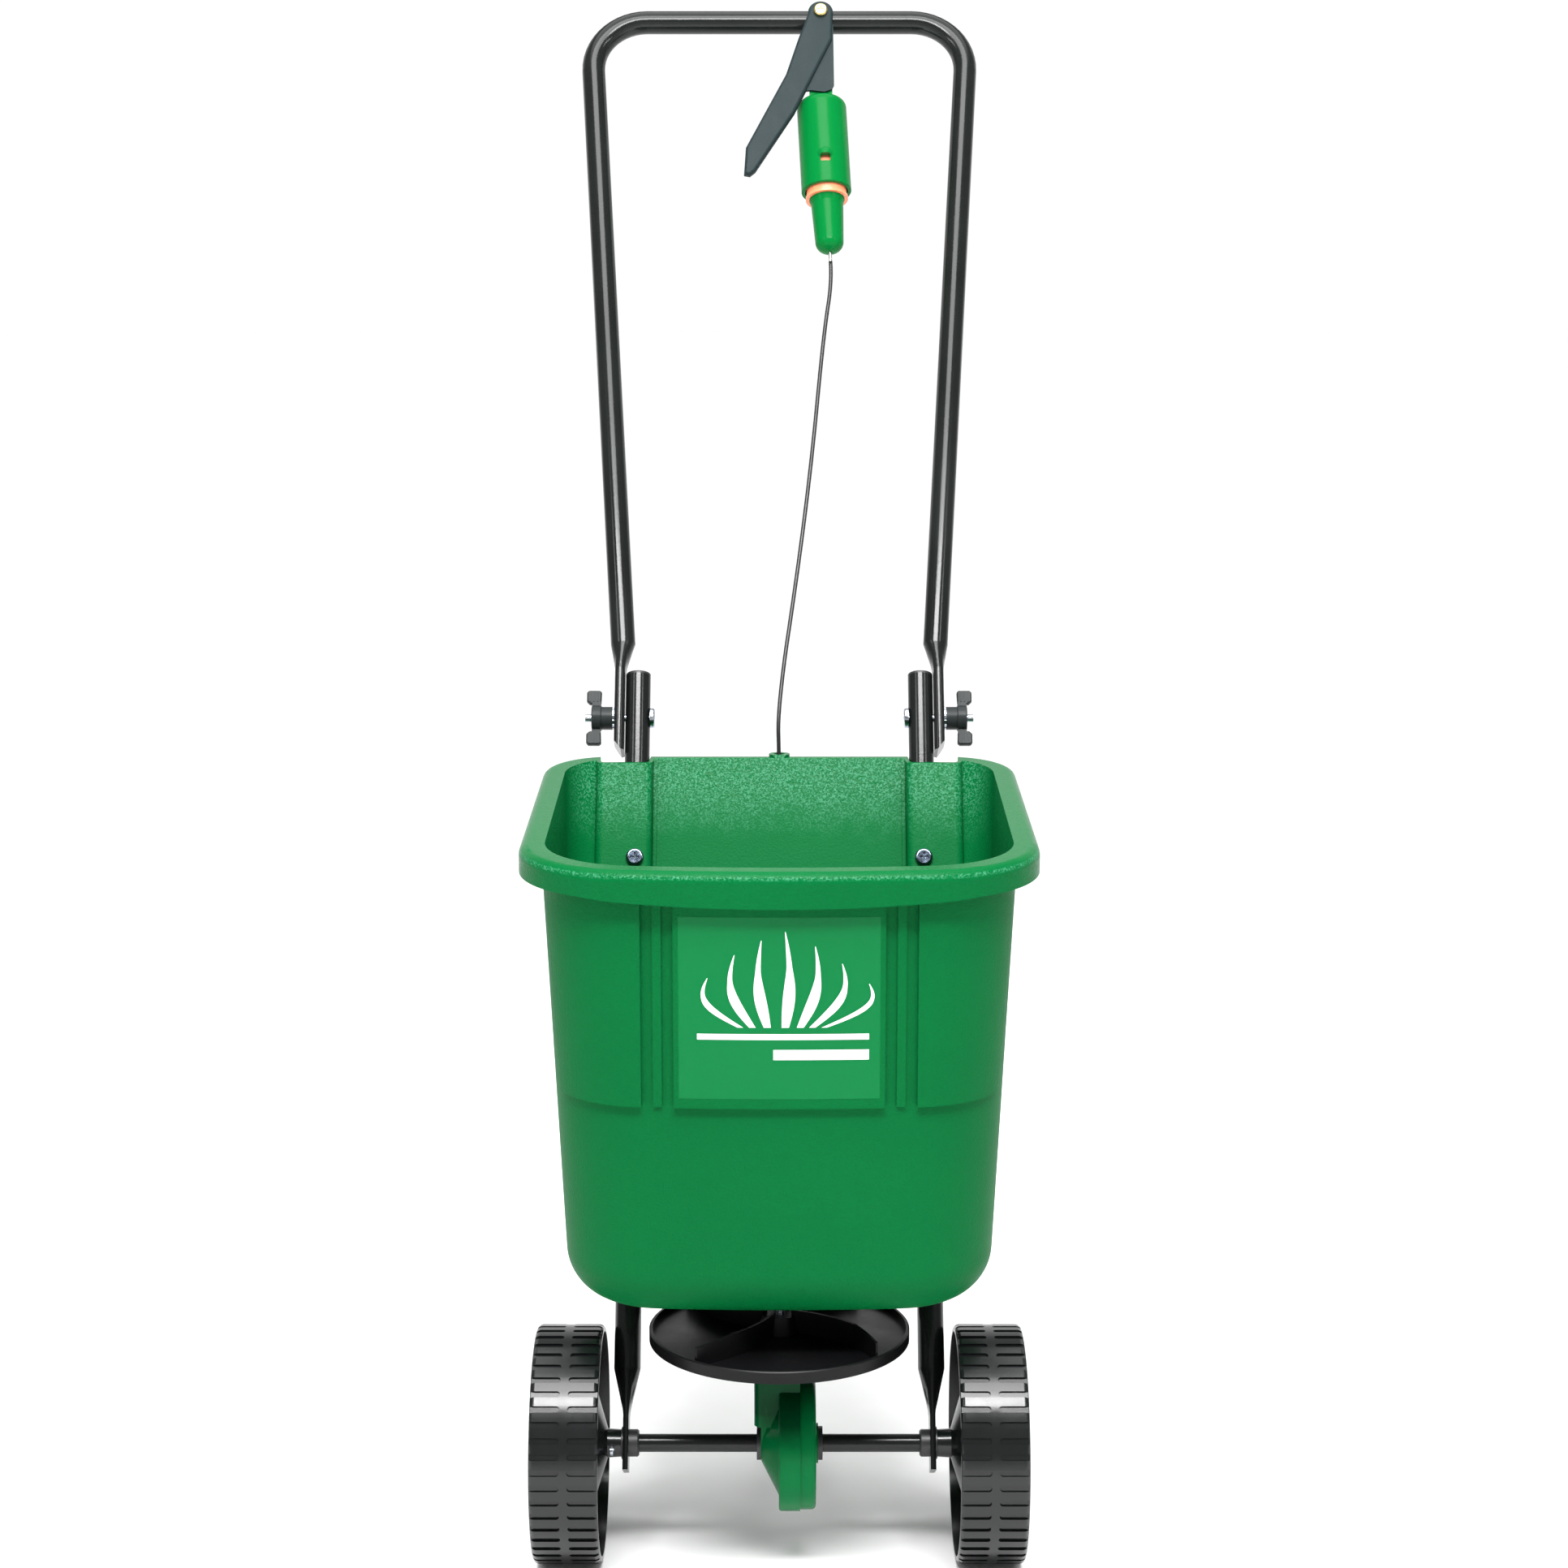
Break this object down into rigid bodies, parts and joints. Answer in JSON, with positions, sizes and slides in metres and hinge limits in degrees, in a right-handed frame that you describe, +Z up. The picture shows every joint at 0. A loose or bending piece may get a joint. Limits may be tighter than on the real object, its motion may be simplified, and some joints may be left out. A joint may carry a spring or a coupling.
{
  "type": "broadcast spreader",
  "caption": "Walk-behind rotary spreader: a green hopper on two leaning tubes, bevel-driven spinner disc, moulded wheels and a bow handle with a squeeze trigger and rate dial.",
  "frame": {"origin": "middle of the footprint's bounding box, on the ground", "axes": "+Z up; +Y backwards, towards the person who pushes it; +X to the right for someone who faces the front of the hopper"},
  "size_m": [0.357, 0.6555, 1.1299],
  "materials": {
    "hopper_green": "satin moulded polypropylene, deep green",
    "gearbox_green": "glossy moulded plastic, deep green",
    "control_green": "glossy moulded plastic, bright green",
    "dial_orange": "orange moulded plastic",
    "frame_black": "glossy black powder coat",
    "wheel_black": "glossy black moulded plastic",
    "black_plastic": "black moulded plastic",
    "trigger_grey": "dark grey moulded plastic",
    "wing_grey": "mid grey moulded plastic",
    "axle_black": "black oxide",
    "steel": "bright zinc plate",
    "yellow_zinc": "yellow zinc plate",
    "nylon": "natural nylon",
    "cable_black": "black vinyl sheath",
    "foot_rubber": "black rubber"
  },
  "bodies": {
    "frame": {"hopper": "hopper_green", "hopper_screws": "steel", "hopper_nuts": "steel", "lower_tube_left": "frame_black", "lower_tube_right": "frame_black", "tube_plugs": "black_plastic", "fold_bolts": "steel", "axle_bushes": "black_plastic", "gearbox_case": "gearbox_green", "gearbox_cover": "gearbox_green", "gearbox_screws": "steel", "gearbox_bushes": "black_plastic", "floor_bush": "nylon", "shutter_guides": "black_plastic", "shutter_spring": "steel", "cable_bracket": "black_plastic", "bracket_screws": "steel", "rear_stand": "frame_black", "stand_foot": "foot_rubber", "stand_bolts": "steel", "stand_nuts": "steel", "lower_cable": "cable_black"},
    "handle": {"upper_handle": "frame_black", "fold_washers": "steel", "control_body": "control_green", "trigger_bolt": "yellow_zinc", "trigger_nut": "steel", "cable_ferrule": "steel", "upper_cable": "cable_black"},
    "wing_left": {"wing_nut_left": "wing_grey"},
    "wing_right": {"wing_nut_right": "wing_grey"},
    "axle_set": {"axle": "axle_black", "drive_wheel": "wheel_black", "drive_pin": "steel", "hub_caps": "black_plastic", "crown_gear": "nylon"},
    "wheel_right": {"free_wheel": "wheel_black"},
    "spinner": {"spinner_shaft": "steel", "spinner_pinion": "nylon", "spinner_disc": "wheel_black", "disc_pin": "steel", "agitator": "steel"},
    "shutter": {"shutter_plate": "black_plastic", "shutter_wire": "steel"},
    "dial": {"rate_drum": "dial_orange", "dial_nose": "control_green"},
    "trigger_lever": {"trigger": "trigger_grey"}
  },
  "joints": [
    {"name": "axle_spin", "type": "hinge", "parent": "frame", "child": "axle_set", "pos_m": [0, -0.2237, 0.083], "axis": [1, 0, 0], "continuous": true},
    {"name": "free_wheel_spin", "type": "hinge", "parent": "frame", "child": "wheel_right", "pos_m": [0.148, -0.2237, 0.083], "axis": [1, 0, 0], "continuous": true},
    {"name": "spinner_spin", "type": "hinge", "parent": "frame", "child": "spinner", "pos_m": [0, -0.2237, 0.166], "axis": [0, 0, 1], "continuous": true},
    {"name": "handle_fold", "type": "hinge", "parent": "frame", "child": "handle", "pos_m": [0, 0.02828, 0.56704], "axis": [1, 0, 0], "range_deg": [0, 112]},
    {"name": "wing_nut_left_turn", "type": "hinge", "parent": "frame", "child": "wing_left", "pos_m": [-0.137, 0.02828, 0.56704], "axis": [-1, 0, 0], "range_deg": [0, 360]},
    {"name": "wing_nut_right_turn", "type": "hinge", "parent": "frame", "child": "wing_right", "pos_m": [0.137, 0.02828, 0.56704], "axis": [1, 0, 0], "range_deg": [0, 360]},
    {"name": "trigger_squeeze", "type": "hinge", "parent": "handle", "child": "trigger_lever", "pos_m": [0.0343, 0.29577, 1.12204], "axis": [0, 0.887, -0.4617], "range_deg": [0, 52], "stiffness_Nm_per_rad": 0.25, "springref_deg": -14.32},
    {"name": "shutter_slide", "type": "slide", "parent": "frame", "child": "shutter", "axis": [0, 1, 0], "range_m": [0, 0.024], "deforming": ["shutter_spring"]},
    {"name": "rate_dial_turn", "type": "hinge", "parent": "handle", "child": "dial", "pos_m": [0.03951, 0.23431, 0.95742], "axis": [0.0471, -0.4612, -0.886], "range_deg": [0, 300]}
  ],
  "couplings": [
    {"joint": "spinner_spin", "follows": "axle_spin", "ratio": -4},
    {"joint": "shutter_slide", "follows": "trigger_squeeze", "m_per_rad": 0.0264}
  ]
}
